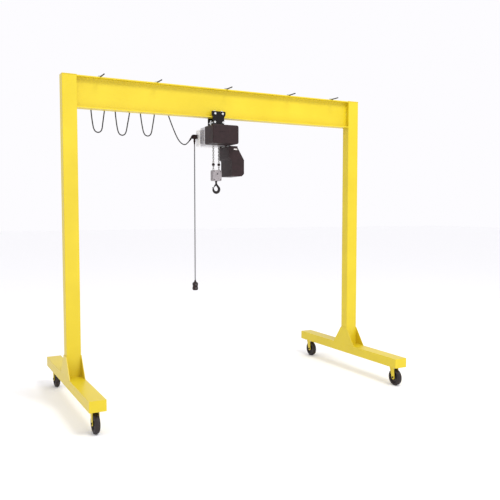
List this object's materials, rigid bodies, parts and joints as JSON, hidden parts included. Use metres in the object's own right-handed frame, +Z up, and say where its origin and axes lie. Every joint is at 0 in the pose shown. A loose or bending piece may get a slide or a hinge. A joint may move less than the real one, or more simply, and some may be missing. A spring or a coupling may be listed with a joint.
{
  "type": "portable_gantry_crane",
  "caption": "Rolling gantry crane: an I-beam on two posts with castered feet, carrying an electric chain hoist on a push trolley, a looped supply cable and a hanging pendant control.",
  "frame": {"origin": "on the floor, midway between the two posts and midway along the feet", "axes": "+X along the beam, away from the festoon's supply end; +Y towards the festoon rail; +Z up"},
  "size_m": [3.45, 1.89, 3.212],
  "materials": {
    "black_paint": "satin",
    "black_plastic": "matte",
    "bright_zinc": "satin",
    "button_grey": "matte",
    "cable_jacket": "matte",
    "cast_housing": "satin",
    "copper_winding": "satin",
    "dark_steel": "satin",
    "grey_jacket": "matte",
    "plated_chain": "gloss",
    "wheel_tread": "matte",
    "white_cover": "satin",
    "yellow_paint": "satin"
  },
  "bodies": {
    "gantry_frame": {"left_foot_tube": "yellow_paint", "right_foot_tube": "yellow_paint", "foot_end_plates": "yellow_paint", "left_post": "yellow_paint", "right_post": "yellow_paint", "post_caps": "yellow_paint", "gusset_plates": "yellow_paint", "main_beam": "yellow_paint", "caster_mounts": "yellow_paint", "festoon_arms": "dark_steel", "arm_saddles": "bright_zinc", "rail_hangers": "bright_zinc", "festoon_rail": "bright_zinc", "rail_end_fittings": "black_plastic", "festoon_cable": "cable_jacket"},
    "left_front_caster": {"left_front_fork": "yellow_paint", "left_front_axle": "dark_steel"},
    "left_front_caster_wheel": {"left_front_wheel": "wheel_tread"},
    "left_rear_caster": {"left_rear_fork": "yellow_paint", "left_rear_axle": "dark_steel"},
    "left_rear_caster_wheel": {"left_rear_wheel": "wheel_tread"},
    "right_front_caster": {"right_front_fork": "yellow_paint", "right_front_axle": "dark_steel"},
    "right_front_caster_wheel": {"right_front_wheel": "wheel_tread"},
    "right_rear_caster": {"right_rear_fork": "yellow_paint", "right_rear_axle": "dark_steel"},
    "right_rear_caster_wheel": {"right_rear_wheel": "wheel_tread"},
    "trolley": {"trolley_front_plate": "black_paint", "trolley_rear_plate": "black_paint", "trolley_tie_bolts": "bright_zinc", "trolley_axles": "bright_zinc", "suspension_lug": "bright_zinc", "hoist_housing": "cast_housing", "control_cover": "black_plastic", "motor_cover": "white_cover", "motor_stator": "copper_winding", "shaft_bearings": "bright_zinc", "chain_bucket": "black_plastic", "load_chain": "plated_chain", "cable_entry": "black_plastic"},
    "cable_slider_1": {"cable_slider_1": "black_plastic"},
    "cable_slider_2": {"cable_slider_2": "black_plastic"},
    "cable_slider_3": {"cable_slider_3": "black_plastic"},
    "trolley_front_left_wheel": {"trolley_front_left_wheel": "bright_zinc"},
    "trolley_front_right_wheel": {"trolley_front_right_wheel": "bright_zinc"},
    "trolley_rear_left_wheel": {"trolley_rear_left_wheel": "bright_zinc"},
    "trolley_rear_right_wheel": {"trolley_rear_right_wheel": "bright_zinc"},
    "hook_block": {"hook_block_shell": "cast_housing", "chain_stoppers": "black_plastic"},
    "chain_drum": {"load_sheave": "bright_zinc", "output_gear": "bright_zinc"},
    "motor_shaft": {"motor_rotor": "dark_steel", "cooling_fan": "black_plastic"},
    "block_sheave": {"block_sheave": "dark_steel"},
    "hook": {"load_hook": "black_paint"},
    "latch": {"hook_latch": "dark_steel"},
    "pendant": {"pendant_cable": "grey_jacket", "pendant_case": "black_plastic"},
    "up_button": {"up_button": "button_grey"},
    "down_button": {"down_button": "button_grey"}
  },
  "joints": [
    {"name": "left_front_swivel", "type": "hinge", "parent": "gantry_frame", "child": "left_front_caster", "pos_m": [-1.65, -0.835, 0.19], "axis": [0, 0, 1], "continuous": true},
    {"name": "left_front_roll", "type": "hinge", "parent": "left_front_caster", "child": "left_front_caster_wheel", "pos_m": [-1.65, -0.855, 0.09], "axis": [1, 0, 0], "continuous": true},
    {"name": "left_rear_swivel", "type": "hinge", "parent": "gantry_frame", "child": "left_rear_caster", "pos_m": [-1.65, 0.835, 0.19], "axis": [0, 0, 1], "continuous": true},
    {"name": "left_rear_roll", "type": "hinge", "parent": "left_rear_caster", "child": "left_rear_caster_wheel", "pos_m": [-1.65, 0.815, 0.09], "axis": [1, 0, 0], "continuous": true},
    {"name": "right_front_swivel", "type": "hinge", "parent": "gantry_frame", "child": "right_front_caster", "pos_m": [1.65, -0.835, 0.19], "axis": [0, 0, 1], "continuous": true},
    {"name": "right_front_roll", "type": "hinge", "parent": "right_front_caster", "child": "right_front_caster_wheel", "pos_m": [1.65, -0.855, 0.09], "axis": [1, 0, 0], "continuous": true},
    {"name": "right_rear_swivel", "type": "hinge", "parent": "gantry_frame", "child": "right_rear_caster", "pos_m": [1.65, 0.835, 0.19], "axis": [0, 0, 1], "continuous": true},
    {"name": "right_rear_roll", "type": "hinge", "parent": "right_rear_caster", "child": "right_rear_caster_wheel", "pos_m": [1.65, 0.815, 0.09], "axis": [1, 0, 0], "continuous": true},
    {"name": "trolley_travel", "type": "slide", "parent": "gantry_frame", "child": "trolley", "axis": [1, 0, 0], "range_m": [-0.55, 1.35], "deforming": ["festoon_cable"]},
    {"name": "cable_slider_1_travel", "type": "slide", "parent": "gantry_frame", "child": "cable_slider_1", "axis": [1, 0, 0], "range_m": [-0.0526, 0.1262]},
    {"name": "cable_slider_2_travel", "type": "slide", "parent": "gantry_frame", "child": "cable_slider_2", "axis": [1, 0, 0], "range_m": [-0.2053, 0.5011]},
    {"name": "cable_slider_3_travel", "type": "slide", "parent": "gantry_frame", "child": "cable_slider_3", "axis": [1, 0, 0], "range_m": [-0.3976, 0.973]},
    {"name": "trolley_front_left_wheel_roll", "type": "hinge", "parent": "trolley", "child": "trolley_front_left_wheel", "pos_m": [-0.153, -0.045, 2.9303], "axis": [0, 1, 0], "continuous": true},
    {"name": "trolley_front_right_wheel_roll", "type": "hinge", "parent": "trolley", "child": "trolley_front_right_wheel", "pos_m": [-0.067, -0.045, 2.9303], "axis": [0, 1, 0], "continuous": true},
    {"name": "trolley_rear_left_wheel_roll", "type": "hinge", "parent": "trolley", "child": "trolley_rear_left_wheel", "pos_m": [-0.153, 0.045, 2.9303], "axis": [0, 1, 0], "continuous": true},
    {"name": "trolley_rear_right_wheel_roll", "type": "hinge", "parent": "trolley", "child": "trolley_rear_right_wheel", "pos_m": [-0.067, 0.045, 2.9303], "axis": [0, 1, 0], "continuous": true},
    {"name": "hook_lift", "type": "slide", "parent": "trolley", "child": "hook_block", "axis": [0, 0, 1], "range_m": [-1.95, 0.14], "deforming": ["load_chain"]},
    {"name": "drum_turn", "type": "hinge", "parent": "trolley", "child": "chain_drum", "pos_m": [-0.11, 0, 2.6565], "axis": [0, 1, 0], "continuous": true},
    {"name": "motor_turn", "type": "hinge", "parent": "trolley", "child": "motor_shaft", "pos_m": [-0.11, 0, 2.709], "axis": [0, 1, 0], "continuous": true},
    {"name": "block_sheave_turn", "type": "hinge", "parent": "hook_block", "child": "block_sheave", "pos_m": [-0.11, 0, 2.302], "axis": [0, 1, 0], "continuous": true},
    {"name": "hook_swivel", "type": "hinge", "parent": "hook_block", "child": "hook", "pos_m": [-0.11, 0, 2.235], "axis": [0, 0, 1], "continuous": true},
    {"name": "latch_hinge", "type": "hinge", "parent": "hook", "child": "latch", "pos_m": [-0.108, 0, 2.198], "axis": [0, -1, 0], "range_deg": [0, 32], "stiffness_Nm_per_rad": 0.1},
    {"name": "pendant_swing", "type": "hinge", "parent": "trolley", "child": "pendant", "pos_m": [-0.252, 0.25, 2.66], "axis": [0, 1, 0], "range_deg": [-35, 35], "deforming": ["pendant_cable"]},
    {"name": "up_button_press", "type": "slide", "parent": "pendant", "child": "up_button", "axis": [0, 1, 0], "range_m": [0, 0.003], "stiffness_N_per_m": 600},
    {"name": "down_button_press", "type": "slide", "parent": "pendant", "child": "down_button", "axis": [0, 1, 0], "range_m": [0, 0.003], "stiffness_N_per_m": 600}
  ],
  "couplings": [
    {"joint": "cable_slider_1_travel", "follows": "trolley_travel", "ratio": 0.09203},
    {"joint": "cable_slider_2_travel", "follows": "trolley_travel", "ratio": 0.36971},
    {"joint": "cable_slider_3_travel", "follows": "trolley_travel", "ratio": 0.71929},
    {"joint": "trolley_front_left_wheel_roll", "follows": "trolley_travel", "rad_per_m": 35.714},
    {"joint": "trolley_front_right_wheel_roll", "follows": "trolley_travel", "rad_per_m": 35.714},
    {"joint": "trolley_rear_left_wheel_roll", "follows": "trolley_travel", "rad_per_m": 35.714},
    {"joint": "trolley_rear_right_wheel_roll", "follows": "trolley_travel", "rad_per_m": 35.714},
    {"joint": "drum_turn", "follows": "hook_lift", "rad_per_m": 62.5},
    {"joint": "motor_turn", "follows": "hook_lift", "rad_per_m": -312.5},
    {"joint": "block_sheave_turn", "follows": "hook_lift", "rad_per_m": 31.25}
  ]
}
